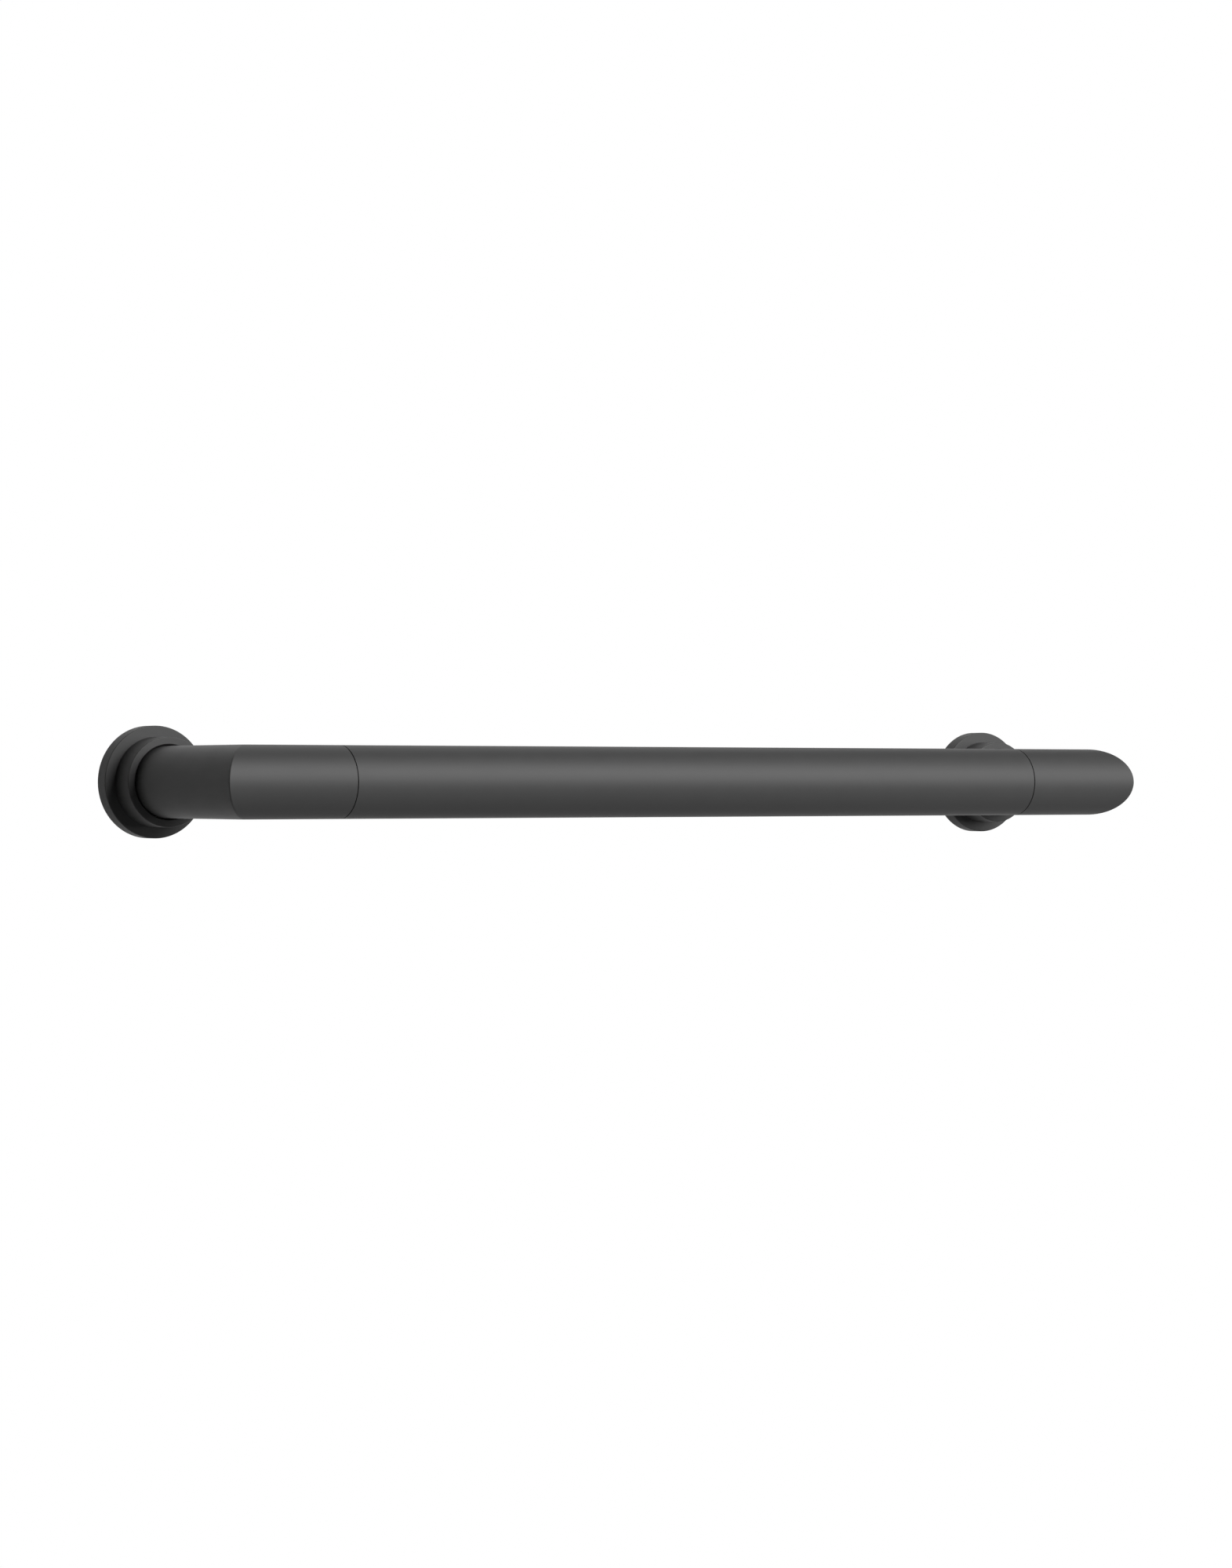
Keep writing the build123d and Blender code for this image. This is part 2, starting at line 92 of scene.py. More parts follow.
# %% [markdown]
# ## Studio
# A black object on white needs two kinds of light. A dim even dome fills the shadows, and softboxes draw
# the long soft highlight on the bar. The background has to be white without lighting the object more, so
# the world is white only to the rays that show it: those from the camera, and those that a glossy or
# clear surface sends on.

# %% Make the white world
def add_node(tree, kind, *values, **named):
    """Add a node, and fill its sockets in order or by name, with a link or a plain value."""
    node = tree.nodes.new("ShaderNode" + kind)
    pairs = list(zip(node.inputs, values))
    pairs += [(node.inputs[name.replace("_", " ")], value) for name, value in named.items()]
    for socket, value in pairs:
        if isinstance(value, bpy.types.NodeSocket):
            tree.links.new(value, socket)
        else:
            socket.default_value = value
    return node


def math_node(tree, operation, *values):
    """Add a Math node and return its result."""
    node = add_node(tree, "Math", *values)
    node.operation = operation
    return node.outputs[0]


def shown_rays(tree):
    """1 for the rays that show a surface: from the camera, or sent on by a glossy or clear surface."""
    path = add_node(tree, "LightPath").outputs
    straight_or_mirrored = math_node(tree, "MAXIMUM", path["Is Camera Ray"], path["Is Glossy Ray"])
    return math_node(tree, "MAXIMUM", straight_or_mirrored, path["Is Transmission Ray"])


WHITE = (1, 1, 1, 1)
DOME_STRENGTH = 0.015
world = bpy.data.worlds.new("white_studio")
world.use_nodes = True
bpy.context.scene.world = world
tree = world.node_tree
tree.nodes.clear()
dome = add_node(tree, "Background", WHITE, DOME_STRENGTH)
backdrop = add_node(tree, "Background", WHITE, 1.0)
sky = add_node(tree, "MixShader", shown_rays(tree), dome.outputs[0], backdrop.outputs[0])
tree.links.new(sky.outputs[0], add_node(tree, "OutputWorld").inputs["Surface"])
print("world:", world.name, "dome:", DOME_STRENGTH)

# %% [markdown]
# ## Floor
# The rail hangs about 0.9 m above the floor. A plain pale disc stands for the floor, throws some light
# back up and takes a soft shadow. To the rays that show it, it is lifted towards white as the world is,
# and its rim fades into the world, so that no edge shows. From below it is clear, so that it doesn't hide
# the rail there.

# %% Lay the floor
def object_from(bm, name):
    """Turn a bmesh into an object of the scene."""
    mesh = bpy.data.meshes.new(name)
    bm.to_mesh(mesh)
    bm.free()
    item = bpy.data.objects.new(name, mesh)
    bpy.context.scene.collection.objects.link(item)
    return item


def empty_material(name):
    """A material whose nodes are still to be set; returns it and its tree."""
    material = bpy.data.materials.new(name)
    material.use_nodes = True
    material.node_tree.nodes.clear()
    return material, material.node_tree


def show_surface(tree, shader):
    """Link a shader node to the material's output."""
    tree.links.new(shader.outputs[0], add_node(tree, "OutputMaterial").inputs["Surface"])


FLOOR_LEVEL = -0.9
FLOOR_RADIUS = 2.6
FADE_START = 0.8
FADE_STOP = 2.5
FLOOR_TONE = 0.42
FLOOR_LIFT = 0.48
pale, tree = empty_material("pale_floor")
matt = add_node(tree, "BsdfDiffuse", (FLOOR_TONE, FLOOR_TONE, FLOOR_TONE, 1))
glow = add_node(tree, "Emission", WHITE, 1.0)
lift = math_node(tree, "MULTIPLY", shown_rays(tree), FLOOR_LIFT)
lifted = add_node(tree, "MixShader", lift, matt.outputs[0], glow.outputs[0])
place = add_node(tree, "TexCoord").outputs["Object"]
from_middle = add_node(tree, "VectorMath", place, (0, 0, FLOOR_LEVEL))
from_middle.operation = "DISTANCE"
fade = add_node(tree, "MapRange", from_middle.outputs["Value"], FADE_START, FADE_STOP)
fade.interpolation_type = "SMOOTHSTEP"
from_below = add_node(tree, "NewGeometry").outputs["Backfacing"]
clearness = math_node(tree, "MAXIMUM", fade.outputs[0], from_below)
clear = add_node(tree, "BsdfTransparent")
show_surface(tree, add_node(tree, "MixShader", clearness, lifted.outputs[0], clear.outputs[0]))

bm = bmesh.new()
level = Matrix.Translation((0, 0, FLOOR_LEVEL))
bmesh.ops.create_circle(bm, cap_ends=True, segments=96, radius=FLOOR_RADIUS, matrix=level)
floor = object_from(bm, "floor")
floor.data.materials.append(pale)
print("floor:", FLOOR_LEVEL, "m, radius", FLOOR_RADIUS, "m")

# %% [markdown]
# ## Softboxes
# On a black tube a light is seen mostly as its own reflection, so the lamps stand where the bar mirrors
# them towards the camera: in front and to the right. The main softbox is narrow, tall and high, and its
# light rakes the steps of the roses. The wide one beside it is weaker and lower, and softens the lower half
# of the tubes.

# %% Hang the softboxes
LAMP_DISTANCE = 2.2


def softbox(name, azimuth, elevation, width, height, power):
    """A rectangular area lamp that is turned to the middle of the bar; angles in degrees."""
    lamp_data = bpy.data.lights.new(name, "AREA")
    lamp_data.shape = "RECTANGLE"
    lamp_data.size = width
    lamp_data.size_y = height
    lamp_data.energy = power
    lamp = bpy.data.objects.new(name, lamp_data)
    turn, rise = math.radians(azimuth), math.radians(elevation)
    towards = Vector((math.sin(turn) * math.cos(rise), -math.cos(turn) * math.cos(rise), math.sin(rise)))
    lamp.location = Vector((0, bar_y, 0)) + towards * LAMP_DISTANCE
    lamp.rotation_euler = towards.to_track_quat("Z", "Y").to_euler()
    lamp.visible_camera = False
    bpy.context.scene.collection.objects.link(lamp)
    print(f"{name}: {power} W, {width} by {height} m")


MAIN_LAMP = (16.0, 34.0, 0.6, 2.2, 52.0)
WIDE_LAMP = (41.0, 18.0, 0.95, 1.7, 35.0)
softbox("main_softbox", *MAIN_LAMP)
softbox("wide_softbox", *WIDE_LAMP)

# %% [markdown]
# ## Dark side of the studio
# A black coat mirrors the room, and white all round would turn it grey. In a real studio only the backdrop
# is white, and the rest of the room is dark. A vault round the front and the sides stands for that: one
# point is spun to an arc, and the arc round the rail. A matt card behind the left end tones the white down
# where the side of the left post mirrors it. Only reflections see the two: they are in no picture and throw
# no shadow.

# %% Build the vault and the card
def only_mirrored(bm, name, tone):
    """Make a matt studio piece that is seen in reflections only."""
    board, tree = empty_material(name)
    show_surface(tree, add_node(tree, "BsdfDiffuse", (tone, tone, tone, 1)))
    item = object_from(bm, name)
    item.data.materials.append(board)
    item.visible_camera = False
    item.visible_diffuse = False
    item.visible_shadow = False
    print(f"{name}: {len(item.data.polygons)} faces, tone {tone}")


VAULT_TONE = 0.14
VAULT_RADIUS = 2.8
VAULT_DIP = 18.0
VAULT_START = 55.0
VAULT_TURN = 250.0
bm = bmesh.new()
lowest = Matrix.Rotation(math.radians(-VAULT_DIP), 3, "X") @ Vector((0, VAULT_RADIUS, 0))
bmesh.ops.spin(
    bm, geom=[bm.verts.new(lowest)], axis=(1, 0, 0), angle=math.radians(VAULT_DIP + 90), steps=12
)
bmesh.ops.rotate(bm, verts=bm.verts, matrix=Matrix.Rotation(math.radians(VAULT_START), 3, "Z"))
bmesh.ops.spin(
    bm, geom=bm.verts[:] + bm.edges[:], axis=(0, 0, 1), angle=math.radians(VAULT_TURN), steps=24
)
only_mirrored(bm, "dark_vault", VAULT_TONE)

CARD_TONE = 1.0
CARD_HALF = 1.0
card_faces = Vector((0.62, -0.78, 0))
card_turn = card_faces.to_track_quat("Z", "Y").to_matrix().to_4x4()
card_place = Matrix.Translation(Vector((-post_x, bar_y / 2, 0)) - card_faces) @ card_turn
bm = bmesh.new()
bmesh.ops.create_grid(bm, size=CARD_HALF, matrix=card_place)
only_mirrored(bm, "matt_card", CARD_TONE)

# %% [markdown]
# ## From bmesh to piece
# Every piece ends in the same way: doubles are merged, the faces are turned outwards, and the mesh is
# shaded smooth. A Weighted Normal modifier lets the large faces set the shading, so the narrow bevels
# catch light without bending the long walls beside them.

# %% Helpers that finish a piece
WELD = MM / 1000
SHARP_ANGLE = math.radians(40)
new_pieces = []


def close_up(bm):
    """Merge doubles, and then turn all faces outwards."""
    bmesh.ops.remove_doubles(bm, verts=bm.verts, dist=WELD)
    bmesh.ops.recalc_face_normals(bm, faces=bm.faces)


def finish_piece(bm, name, slot, node):
    """Turn a bmesh into a piece that rides on the rail and stands for its CAD node."""
    close_up(bm)
    piece = object_from(bm, name)
    piece.data.shade_smooth()
    piece.data.set_sharp_from_angle(angle=SHARP_ANGLE)
    piece.modifiers.new("even_shading", "WEIGHTED_NORMAL").keep_sharp = True
    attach(piece, "root")
    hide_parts(node)
    new_pieces.append((piece, slot))
    print(f"{name}: {len(piece.data.polygons)} faces")


print(f"edges past {math.degrees(SHARP_ANGLE):.0f} degrees stay sharp")

# %% [markdown]
# ## Rounded edges
# No edge of a real part is perfectly sharp, and a small round is what catches the light. A bevel needs the
# right edges, and these are found by their place: a test looks at both ends of each edge, and the edges
# that pass are rounded together.

# %% Helpers that round edges
def near(value, target):
    """Whether two lengths are the same within a micrometre."""
    return abs(value - target) < WELD


def edges_where(bm, test):
    """All edges whose two ends pass a test on their place."""
    return [edge for edge in bm.edges if all(test(vert.co) for vert in edge.verts)]


def round_edges(bm, edges, radius, segments):
    """Bevel edges to a quarter round."""
    bmesh.ops.bevel(
        bm, geom=edges, offset=radius, segments=segments, profile=0.5, affect="EDGES", material=-1
    )
    print(f"rounded {len(edges)} edges by {radius / MM:.2f} mm")


# %% [markdown]
# ## Heated bar
# The bar is a straight tube that ends at the two seams, with its cut edges broken so that they are not
# sharp to the hand. A cylinder primitive has no wall. Here four corners of the wall's section are spun
# once round the bar's axis, and the rims get a small bevel.

# %% Spin the bar
TUBE_STEPS = 128
FULL_TURN = math.radians(360)
EDGE_BREAK = 0.15 * MM
bore_r = tube_r - 1.5 * MM
bar_half = seam_x - HALF_SEAM


def spin_profile(points, centre, axis, steps):
    """Spin a closed loop of points about an axis, and return the bmesh."""
    bm = bmesh.new()
    corners = [bm.verts.new(point) for point in points]
    sides = [bm.edges.new(pair) for pair in zip(corners, corners[1:] + corners[:1])]
    bmesh.ops.spin(
        bm, geom=corners + sides, cent=centre, axis=axis, angle=FULL_TURN, steps=steps, use_merge=True
    )
    return bm


def on_bar_rim(place):
    """Whether a point lies on one of the bar's two outer rims."""
    return near(math.hypot(place.y - bar_y, place.z), tube_r) and near(abs(place.x), bar_half)


section = [(-bar_half, bore_r), (-bar_half, tube_r), (bar_half, tube_r), (bar_half, bore_r)]
bm = spin_profile([(x, bar_y, r) for x, r in section], (0, bar_y, 0), (1, 0, 0), TUBE_STEPS)
round_edges(bm, edges_where(bm, on_bar_rim), EDGE_BREAK, 3)
finish_piece(bm, "bar_tube", "rail_coat", "heated_bar")

# %% [markdown]
# ## Mitred elbows
# Each elbow is a post and a short stub, cut at 45 degrees and welded. The same two steps make it here:
# a tube grows from its foot past the corner, the mitre plane cuts it, and the cut loops are drawn out
# along the bar to the seam. The crease keeps a round of half a millimetre, as a dressed weld has.

# %% Grow, cut and turn the elbows
MITRE_ROUND = 0.5 * MM
stub_end = seam_x + HALF_SEAM
WALL_TO_POST = Matrix.Rotation(math.radians(90), 4, "X")


def cut_loops(bm, point, normal):
    """Cut everything beyond a plane away, and return the edges of the cut."""
    geometry = bm.verts[:] + bm.edges[:] + bm.faces[:]
    cut = bmesh.ops.bisect_plane(bm, geom=geometry, plane_co=point, plane_no=normal, clear_outer=True)
    return [item for item in cut["geom_cut"] if isinstance(item, bmesh.types.BMEdge)]


def draw_out(bm, edges, offset):
    """Extrude edges by an offset."""
    grown = bmesh.ops.extrude_edge_only(bm, edges=edges)["geom"]
    moved = [item for item in grown if isinstance(item, bmesh.types.BMVert)]
    bmesh.ops.translate(bm, verts=moved, vec=offset)


def elbow_tube(side):
    """Hollow mitred tube from the wall plate to the seam; side is -1 at the left and 1 at the right."""
    bm = bmesh.new()
    corner = Vector((side * post_x, bar_y, 0))
    foot = Matrix.Translation((side * post_x, foot_y, 0)) @ WALL_TO_POST
    for radius in (tube_r, bore_r):
        bmesh.ops.create_circle(bm, segments=TUBE_STEPS, radius=radius, matrix=foot)
    circles = bm.edges[:]
    bmesh.ops.bridge_loops(bm, edges=circles)
    draw_out(bm, circles, (0, bar_y - foot_y - 2 * tube_r, 0))
    mitre = cut_loops(bm, corner, Vector((-side, -1, 0)))
    draw_out(bm, mitre, (-side * post_x, 0, 0))
    rims = cut_loops(bm, (side * stub_end, 0, 0), (-side, 0, 0))
    bmesh.ops.bridge_loops(bm, edges=rims)

    def on_crease(place):
        across = place - corner
        return near(across.y, -side * across.x) and near(math.hypot(across.x, place.z), tube_r)

    def on_rim(place):
        return near(side * place.x, stub_end) and near(math.hypot(place.y - bar_y, place.z), tube_r)

    round_edges(bm, edges_where(bm, on_crease), MITRE_ROUND, 4)
    round_edges(bm, edges_where(bm, on_rim), EDGE_BREAK, 3)
    return bm


elbows = {name: elbow_tube(side) for name, side in SIDES.items()}
print("elbow faces:", [len(bm.faces) for bm in elbows.values()])

# %% [markdown]
# ## Screw holes in the posts
# A small screw under each post locks it on its wall plate, hidden by the rose. A hole in a curved wall is
# hard to model by hand, so a Boolean modifier takes a round cutter away. What is left is read back into a
# bmesh at once, and no cutter stays in the scene.

# %% Drill the posts
GRUB_HOLE = 2.55 * MM
GRUB_PLACE = 9.0 * MM
GRUB_REACH = 4.0 * MM
CUTTER_STEPS = 64


def round_cutter(axis, start, stop, start_r, stop_r):
    """A closed round cutter on a matrix's Z axis, from one place and radius to another."""
    bm = bmesh.new()
    bmesh.ops.create_cone(
        bm,
        cap_ends=True,
        segments=CUTTER_STEPS,
        radius1=start_r,
        radius2=stop_r,
        depth=stop - start,
        matrix=axis @ Matrix.Translation((0, 0, (start + stop) / 2)),
    )
    return bm


def drilled(bm, *cutters):
    """Take cutters away from a bmesh, and return what is left."""
    close_up(bm)
    blank, *tools = [object_from(shape, "drilling") for shape in (bm, *cutters)]
    for tool in tools:
        cut = blank.modifiers.new("cut", "BOOLEAN")
        cut.operation = "DIFFERENCE"
        cut.solver = "MANIFOLD"
        cut.object = tool
    left = bmesh.new()
    left.from_object(blank, bpy.context.evaluated_depsgraph_get())
    for item in (blank, *tools):
        bpy.data.meshes.remove(item.data)
    return left


for name, side in SIDES.items():
    under_post = Matrix.Translation((side * post_x, -GRUB_PLACE, -tube_r))
    grub_drill = round_cutter(under_post, -GRUB_REACH, GRUB_REACH, GRUB_HOLE, GRUB_HOLE)
    tube = drilled(elbows[name], grub_drill)
    finish_piece(tube, f"{name}_elbow_tube", "rail_coat", f"{name}_elbow")

# %% [markdown]
# ## Stepped roses
# A rose is turned from one piece: a disc on the wall and a collar round the post, hollow behind, with a
# groove in the collar for a rubber ring. A turned part is an outline and an axis, so it is spun as the bar
# was. The two outer edges get a round of 0.4 mm, which shows as a thin line along each of them.

# %% Spin the roses
ROSE_STEPS = 160
EDGE_ROUND = 0.4 * MM
RIM_WALL = 1.7 * MM
GROOVE_HALF = 1.05 * MM
disc_front = 7.0 * MM
collar_front = 19.5 * MM
collar_r = rose_r - 5.0 * MM
cavity_r, relief_r = rose_r - RIM_WALL, collar_r - RIM_WALL
cavity_front = disc_front - 2.4 * MM
mouth_r = tube_r + 0.5 * MM
groove_r = tube_r + 2.1 * MM
groove_middle = collar_front - 3.0 * MM
lip_back = collar_front - 6.5 * MM
rose_outline = [
    (cavity_r, 0),
    (rose_r, 0),
    (rose_r, disc_front),
    (collar_r, disc_front),
    (collar_r, collar_front),
    (mouth_r + EDGE_ROUND, collar_front),
    (mouth_r, collar_front - EDGE_ROUND),
    (mouth_r, groove_middle + GROOVE_HALF),
    (groove_r, groove_middle + GROOVE_HALF),
    (groove_r, groove_middle - GROOVE_HALF),
    (mouth_r, groove_middle - GROOVE_HALF),
    (mouth_r, lip_back),
    (relief_r, lip_back),
    (relief_r, cavity_front),
    (cavity_r, cavity_front),
]
rose_edges = [(rose_r, disc_front), (collar_r, collar_front)]


def turned(side, outline, corners, radius, segments):
    """Spin an outline of radii and heights about a post's axis, and round the edges at some corners of it."""
    x = side * post_x
    bm = spin_profile([(x, -height, r) for r, height in outline], (x, 0, 0), (0, 1, 0), ROSE_STEPS)
    rings = []
    for ring_r, ring_height in corners:

        def on_ring(place):
            return near(math.hypot(place.x - x, place.z), ring_r) and near(-place.y, ring_height)

        rings += edges_where(bm, on_ring)
    round_edges(bm, rings, radius, segments)
    return bm


for name, side in SIDES.items():
    cover = turned(side, rose_outline, rose_edges, EDGE_ROUND, 5)
    finish_piece(cover, f"{name}_rose_cover", "rail_coat", f"{name}_rose")

# %% [markdown]
# ## Wall plates
# A turned steel plate sits inside each rose. Its spigot carries the post, two countersunk screws hold it
# on the wall, and the cable passes through its middle. It shows only from behind. The outline is spun, the
# edges that a hand meets are broken, and cutters make the screw holes with a small chamfer at the back.

# %% Spin and drill the plates
PLATE_BREAK = 0.3 * MM
SPIGOT_CHAMFER = 0.8 * MM
plate_r = rose_r - 2.0 * MM
plate_front = -foot_y
spigot_r = bore_r - 0.1 * MM
spigot_front = 24.0 * MM
spigot_bore_r = 8.5 * MM
neck_r = 12.15 * MM
neck_back, neck_front = 6.0 * MM, 12.0 * MM
cable_r = 5.5 * MM
web_back, web_front = 1.4 * MM, 3.4 * MM
plate_outline = [
    (spigot_bore_r, 0),
    (plate_r, 0),
    (plate_r, plate_front),
    (spigot_r, plate_front),
    (spigot_r, neck_back),
    (neck_r, neck_back),
    (neck_r, neck_front),
    (spigot_r, neck_front),
    (spigot_r, spigot_front - SPIGOT_CHAMFER),
    (spigot_r - SPIGOT_CHAMFER, spigot_front),
    (spigot_bore_r, spigot_front),
    (spigot_bore_r, web_front),
    (cable_r, web_front),
    (cable_r, web_back),
    (spigot_bore_r, web_back),
]
plate_edges = [(plate_r, 0), (spigot_bore_r, 0)]

screw_z = wall_screws["dims"]["spacing_y_mm"] / 2 * MM
screw_r = wall_screws["dims"]["hole_r_mm"] * MM
HEAD_R = 4.0 * MM
HEAD_DEPTH = 2.8 * MM
BACK_CHAMFER = 0.2 * MM
PAST_BACK = 1.0 * MM
PAST_FRONT = 0.2 * MM


def screw_cutters(x, z):
    """Drill, back chamfer and countersink of one screw hole, each a little longer than its cut."""
    axis = Matrix.Translation((x, 0, z)) @ WALL_TO_POST
    chamfer_r = screw_r + BACK_CHAMFER
    tip_r = HEAD_R - HEAD_DEPTH
    return (
        round_cutter(axis, -PAST_BACK, plate_front + PAST_BACK, screw_r, screw_r),
        round_cutter(axis, -PAST_BACK, PAST_BACK, chamfer_r + PAST_BACK, chamfer_r - PAST_BACK),
        round_cutter(axis, plate_front - HEAD_DEPTH, plate_front + PAST_FRONT, tip_r, HEAD_R + PAST_FRONT),
    )


for name, side in SIDES.items():
    plate = turned(side, plate_outline, plate_edges, PLATE_BREAK, 3)
    cutters = [cutter for z in (-screw_z, screw_z) for cutter in screw_cutters(side * post_x, z)]
    finish_piece(drilled(plate, *cutters), f"{name}_plate", "plate_steel", f"{name}_wall_plate")

# %% [markdown]
# ## Two shared effects
# Most of the finishes here need one of two things. Coats, rubbers and plastics have a fine grain and a
# faint unevenness of tone. Turned metals have tool marks that run round their axis. Each effect is a node
# group with its own inputs, so a finish is mostly a choice of colours and scales.

# %% Build the node groups
def new_group(name, inputs, outputs):
    """A shader node group with float or vector sockets; returns the group and its two end nodes."""
    group = bpy.data.node_groups.new(name, "ShaderNodeTree")
    for label, kind in inputs:
        group.interface.new_socket(label, in_out="INPUT", socket_type="NodeSocket" + kind)
    for label in outputs:
        group.interface.new_socket(label, in_out="OUTPUT", socket_type="NodeSocketFloat")
    return group, group.nodes.new("NodeGroupInput").outputs, group.nodes.new("NodeGroupOutput").inputs


fine_grain, given, result = new_group(
    "fine_grain", [("Place", "Vector"), ("Grain", "Float"), ("Mottle", "Float")], ["Height", "Tone"]
)
peel = add_node(fine_grain, "TexNoise", Vector=given["Place"], Scale=given["Grain"], Detail=2.0)
cloud = add_node(fine_grain, "TexNoise", Vector=given["Place"], Scale=given["Mottle"], Detail=3.0)
fine_grain.links.new(peel.outputs[0], result["Height"])
fine_grain.links.new(cloud.outputs[0], result["Tone"])

tool_marks, given, result = new_group("tool_marks", [("Across", "Float"), ("Pitch", "Float")], ["Mark"])
turns = math_node(tool_marks, "DIVIDE", given["Across"], given["Pitch"])
marks = add_node(tool_marks, "TexNoise", Detail=3.0)
marks.noise_dimensions = "1D"
tool_marks.links.new(turns, marks.inputs["W"])
tool_marks.links.new(marks.outputs[0], result["Mark"])
print("groups:", fine_grain.name, tool_marks.name)

# %% [markdown]
# ## What a finish is made of
# Every finish here is one Principled shader with three things that change over the surface: its colour
# lies between two near tones, its roughness between two values, and a bump stands out by a few micrometres.
# Small helpers set one of these each, so that a finish can be read as a short list.

# %% Helpers that mix a finish
MOTTLE = 90.0
finishes = {}


def new_finish(slot, **constants):
    """A material for a slot; returns its tree, its shader and the place on the surface."""
    finishes[slot], tree = empty_material(slot)
    shader = add_node(tree, "BsdfPrincipled", **constants)
    show_surface(tree, shader)
    return tree, shader, add_node(tree, "TexCoord").outputs["Object"]


def use_group(tree, group, **named):
    """Place a node group in a material and return its outputs."""
    node = tree.nodes.new("ShaderNodeGroup")
    node.node_tree = group
    for name, value in named.items():
        if isinstance(value, bpy.types.NodeSocket):
            tree.links.new(value, node.inputs[name])
        else:
            node.inputs[name].default_value = value
    return node.outputs


def blend_colours(tree, mask, dark, light):
    """Mix two colours by a mask."""
    node = tree.nodes.new("ShaderNodeMix")
    node.data_type = "RGBA"
    colours = [socket for socket in node.inputs if socket.type == "RGBA"]
    tree.links.new(mask, node.inputs[0])
    for socket, colour in zip(colours, (dark, light)):
        if isinstance(colour, bpy.types.NodeSocket):
            tree.links.new(colour, socket)
        else:
            socket.default_value = (*colour, 1)
    return next(socket for socket in node.outputs if socket.type == "RGBA")


def set_roughness(tree, shader, mask, smooth, rough):
    """Let a mask move the roughness between two values."""
    span = add_node(tree, "MapRange", mask, 0.0, 1.0, smooth, rough)
    tree.links.new(span.outputs[0], shader.inputs["Roughness"])


def set_bump(tree, shader, height, depth):
    """Let a height from 0 to 1 stand out of the surface by a depth in metres."""
    bump = add_node(tree, "Bump", Height=height, Distance=depth)
    tree.links.new(bump.outputs[0], shader.inputs["Normal"])


def grey(tone):
    """A neutral colour."""
    return (tone, tone, tone)


print("grey of 0.5:", grey(0.5))

# %% [markdown]
# ## Grained finishes
# The rail's satin black is a powder coat: sprayed as powder and baked, it flows out to a soft sheen with
# a faint orange peel. The seals are black rubber, the heating cable has a brick red silicone jacket, the
# leads have glossy insulation and the terminal strip is natural nylon. All of them are a pair of near
# tones, a range of roughness and a fine bump.

# %% Mix the grained finishes
def grained(slot, dark, light, smooth, rough, grain, depth, **constants):
    """A coat, rubber or plastic: two near tones, a roughness range and a fine bump."""
    tree, shader, place = new_finish(slot, **constants)
    effect = use_group(tree, fine_grain, Place=place, Grain=grain, Mottle=MOTTLE)
    tree.links.new(blend_colours(tree, effect["Tone"], dark, light), shader.inputs["Base Color"])
    set_roughness(tree, shader, effect["Tone"], smooth, rough)
    set_bump(tree, shader, effect["Height"], depth)


COAT_TONE = 0.042
COAT_ROUGH = 0.53
COAT_SHINE = 0.3
grained(
    "rail_coat",
    dark=grey(COAT_TONE * 0.92),
    light=grey(COAT_TONE * 1.08),
    smooth=COAT_ROUGH - 0.03,
    rough=COAT_ROUGH + 0.03,
    grain=900.0,
    depth=4e-6,
    Specular_IOR_Level=COAT_SHINE,
)
grained("seal_rubber", grey(0.010), grey(0.020), 0.6, 0.8, grain=2200.0, depth=1e-5)
grained(
    "heater_silicone", (0.36, 0.07, 0.045), (0.46, 0.11, 0.07), 0.42, 0.55, grain=1800.0, depth=6e-6
)
grained(
    "live_insulation", (0.17, 0.07, 0.035), (0.23, 0.105, 0.055), 0.25, 0.34, grain=1500.0, depth=3e-6
)
grained(
    "neutral_insulation", (0.03, 0.12, 0.40), (0.055, 0.17, 0.48), 0.25, 0.34, grain=1500.0, depth=3e-6
)
grained("block_nylon", (0.72, 0.71, 0.65), (0.82, 0.81, 0.76), 0.38, 0.5, grain=2600.0, depth=6e-6)
print("grained finishes:", len(finishes))

# %% [markdown]
# ## Earth lead
# The earth lead is green and yellow, the two colours twisted along it. A painted strip would need a map
# that follows the wire. A slanting wave across its place gives the same twist at no cost, because the lead
# is thin.

# %% Twist two colours
SLANT = (1.0, 1.0, 1.4)
WAVES = 900.0
SOFT_EDGE = 0.15
tree, shader, place = new_finish("earth_insulation")
slant = add_node(tree, "VectorMath", place, SLANT)
slant.operation = "DOT_PRODUCT"
twist = math_node(tree, "SINE", math_node(tree, "MULTIPLY", slant.outputs["Value"], WAVES))
stripe = add_node(tree, "MapRange", twist, -SOFT_EDGE, SOFT_EDGE).outputs[0]
effect = use_group(tree, fine_grain, Place=place, Grain=1500.0, Mottle=MOTTLE)
green = blend_colours(tree, effect["Tone"], (0.03, 0.20, 0.035), (0.05, 0.27, 0.05))
yellow = blend_colours(tree, effect["Tone"], (0.70, 0.52, 0.03), (0.80, 0.62, 0.05))
tree.links.new(blend_colours(tree, stripe, green, yellow), shader.inputs["Base Color"])
set_roughness(tree, shader, effect["Tone"], 0.25, 0.34)
set_bump(tree, shader, effect["Height"], 3e-6)
print("earth lead:", finishes["earth_insulation"].name)

# %% [markdown]
# ## Turned metals
# The wall plates, sleeves, screws and clamps are turned, and a lathe leaves fine rings round the axis. Two
# distances describe where a point lies on such a part: along the axis, and out from it. Their sum changes
# across every turned surface, flat or round, so one line of noise on it draws the rings everywhere. The
# sleeves are black anodised, and such a dyed layer shines like a plastic and not like bare metal. Their black
# is also painted shade: it makes the rib in each seam as dark as the shadow line of a deeper groove.

# %% Mix the turned metals
ALONG_X, ALONG_Y, ALONG_Z = (1, 0, 0), (0, 1, 0), (0, 0, 1)
MARK_DEPTH = 8e-6


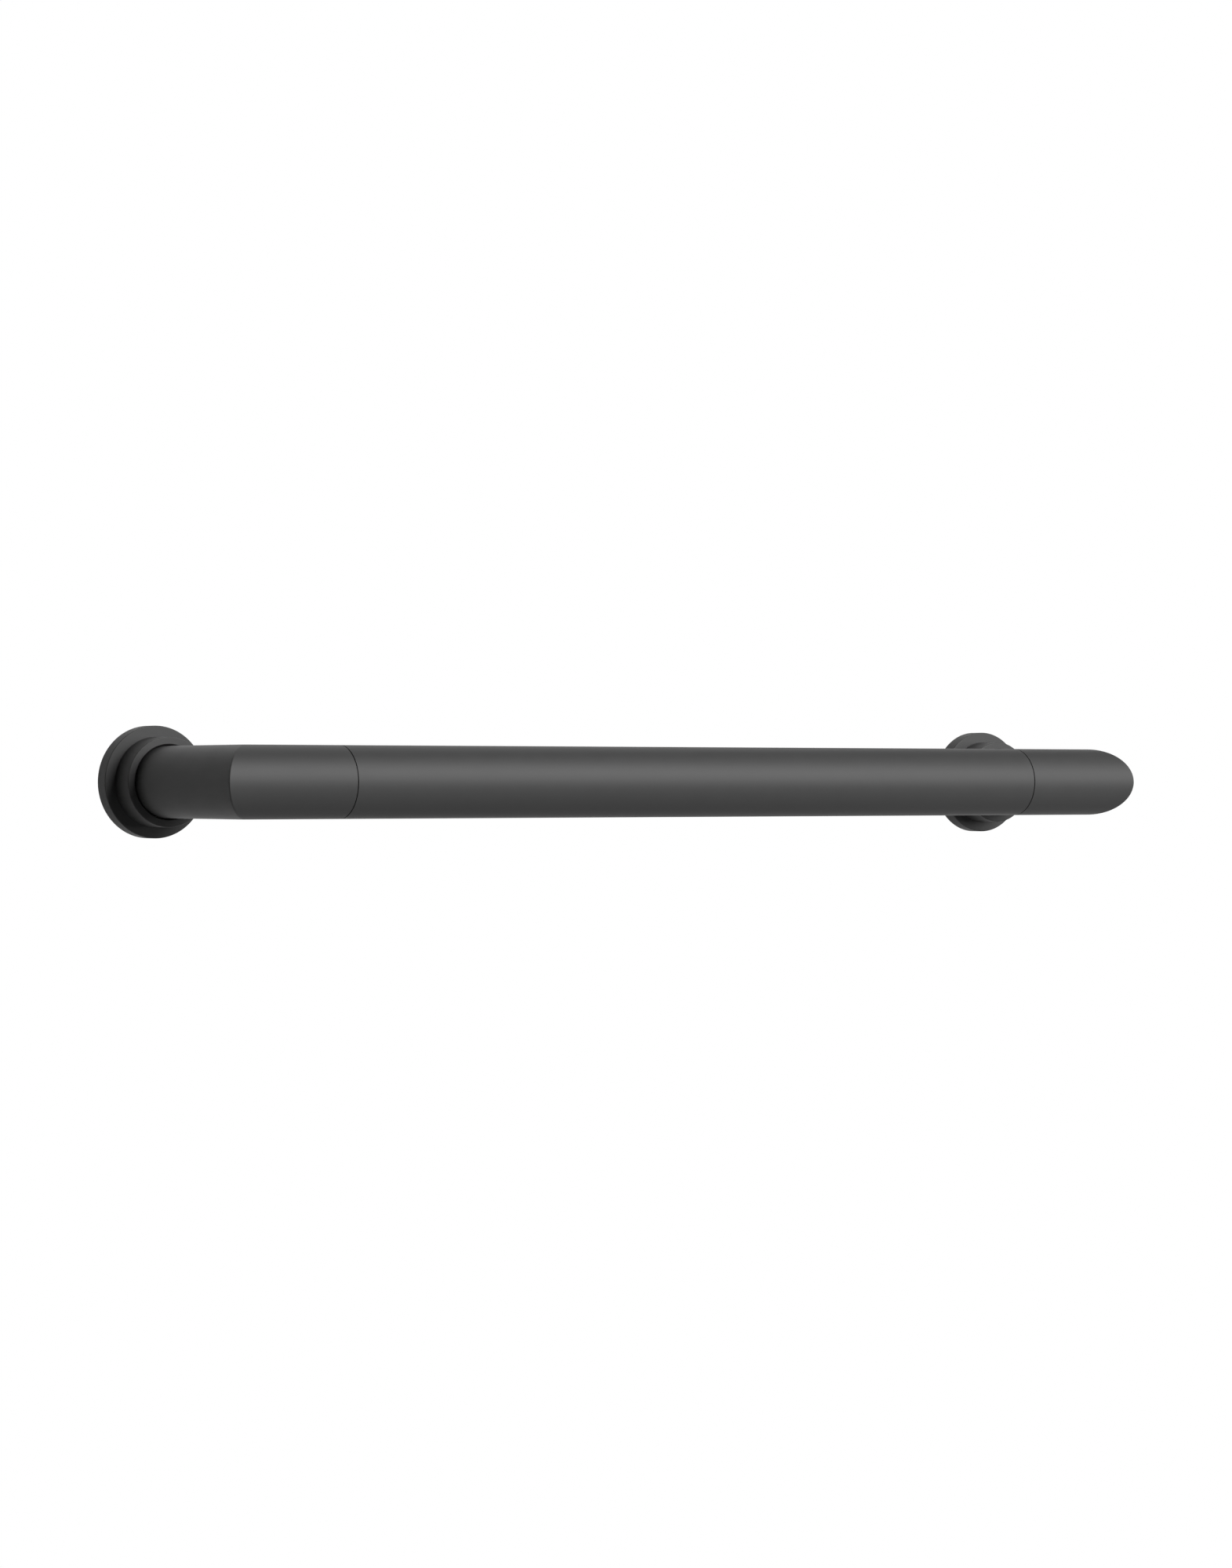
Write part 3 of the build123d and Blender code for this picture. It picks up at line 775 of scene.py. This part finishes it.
def turned_metal(slot, dark, light, smooth, rough, pitch, axis, centre, metallic=1.0):
    """Metal with tool marks round an axis; both ends of the rail share one centre by symmetry."""
    tree, shader, place = new_finish(slot, Metallic=metallic)
    halves = add_node(tree, "VectorMath", place)
    halves.operation = "ABSOLUTE"
    local = add_node(tree, "VectorMath", halves.outputs["Vector"], tuple(abs(value) for value in centre))
    local.operation = "SUBTRACT"
    along = add_node(tree, "VectorMath", local.outputs["Vector"], axis)
    along.operation = "DOT_PRODUCT"
    sideways = tuple(1 - value for value in axis)
    out = add_node(tree, "VectorMath", local.outputs["Vector"], sideways)
    out.operation = "MULTIPLY"
    radius = add_node(tree, "VectorMath", out.outputs["Vector"])
    radius.operation = "LENGTH"
    across = math_node(tree, "ADD", along.outputs["Value"], radius.outputs["Value"])
    mark = use_group(tree, tool_marks, Across=across, Pitch=pitch)["Mark"]
    tree.links.new(blend_colours(tree, mark, dark, light), shader.inputs["Base Color"])
    set_roughness(tree, shader, mark, smooth, rough)
    set_bump(tree, shader, mark, MARK_DEPTH)


on_post = {"centre": (post_x, 0, 0)}
on_bar = {"axis": ALONG_X, "centre": (0, bar_y, 0)}
turned_metal("plate_steel", grey(0.50), grey(0.62), 0.28, 0.42, pitch=0.6 * MM, axis=ALONG_Y, **on_post)
# The sleeves' black is their dye and also painted shade, which darkens the rib in each seam like a shadow
# line.
turned_metal("sleeve_alloy", grey(0.014), grey(0.022), 0.35, 0.5, pitch=0.5 * MM, **on_bar, metallic=0.0)
turned_metal("fastener_steel", grey(0.42), grey(0.56), 0.25, 0.4, pitch=0.4 * MM, axis=ALONG_Z, **on_post)
turned_metal("fuse_case", grey(0.68), grey(0.78), 0.25, 0.38, pitch=0.5 * MM, **on_bar)
turned_metal(
    "tinned_copper", (0.62, 0.61, 0.58), (0.72, 0.71, 0.68), 0.3, 0.45, pitch=0.5 * MM, **on_bar
)
turned_metal(
    "clamp_brass", (0.60, 0.42, 0.16), (0.74, 0.56, 0.25), 0.22, 0.36, pitch=0.4 * MM, axis=ALONG_Y, **on_post
)
print("finishes:", len(finishes))

# %% [markdown]
# ## Dress every part
# The record says which finish each CAD node takes. The new pieces carry the name of their slot, so the
# same table dresses them too.

# %% Hand out the finishes
for subpart in frame["record"]["subparts"]:
    node = frame["nodes"][subpart["node"]]
    for material_slot in node.material_slots:
        material_slot.material = finishes[subpart["material_slot"]]
for piece, slot in new_pieces:
    piece.data.materials.clear()
    piece.data.materials.append(finishes[slot])
